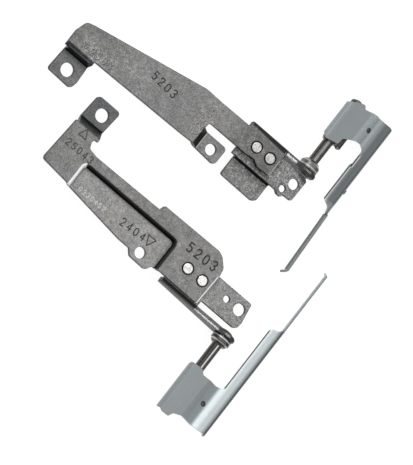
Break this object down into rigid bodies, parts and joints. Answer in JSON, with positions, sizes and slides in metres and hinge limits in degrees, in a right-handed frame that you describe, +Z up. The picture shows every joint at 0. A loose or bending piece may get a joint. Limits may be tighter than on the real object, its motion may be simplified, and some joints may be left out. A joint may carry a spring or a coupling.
{
  "type": "pair of laptop hinges",
  "caption": "Left and right laptop lid hinges: stamped and riveted steel bases, friction leaves on a flatted shaft, and light display brackets with long blades.",
  "frame": {"origin": "middle of the left hinge's far-ear screw hole", "axes": "+X along the hinges' arms towards the shafts, +Y along the left shaft, +Z up"},
  "size_m": [0.0734, 0.0751, 0.0071],
  "materials": {
    "base_steel": "tumbled grey steel",
    "plate_steel": "coarse tumbled grey steel",
    "dark_steel": "dark oiled turned steel",
    "leaf_steel": "dark oiled spring steel",
    "rivet_steel": "bright swaged steel",
    "satin_plate": "satin light plating"
  },
  "bodies": {
    "bases": {"left_base_bracket": "base_steel", "right_base_bracket": "base_steel", "left_hinge_plate": "plate_steel", "right_hinge_plate": "plate_steel", "left_rivets": "rivet_steel", "right_rivets": "rivet_steel", "left_shaft": "dark_steel", "right_shaft": "dark_steel", "left_front_washer": "dark_steel", "right_front_washer": "dark_steel", "left_spring_washers": "dark_steel", "right_spring_washers": "dark_steel", "left_shaft_nut": "dark_steel", "right_shaft_nut": "dark_steel"},
    "left_display": {"left_friction_leaves": "leaf_steel", "left_leaf_pin": "rivet_steel", "left_display_bracket": "satin_plate"},
    "right_display": {"right_friction_leaves": "leaf_steel", "right_leaf_pin": "rivet_steel", "right_display_bracket": "satin_plate"}
  },
  "joints": [
    {"name": "left_lid_turn", "type": "hinge", "parent": "bases", "child": "left_display", "pos_m": [0.0522, 0.024, -0.0018], "axis": [0, 1, 0], "range_deg": [-90, 45]},
    {"name": "right_lid_turn", "type": "hinge", "parent": "bases", "child": "right_display", "pos_m": [0.05985, -0.029, -0.0018], "axis": [0, 1, 0], "range_deg": [-90, 45]}
  ]
}
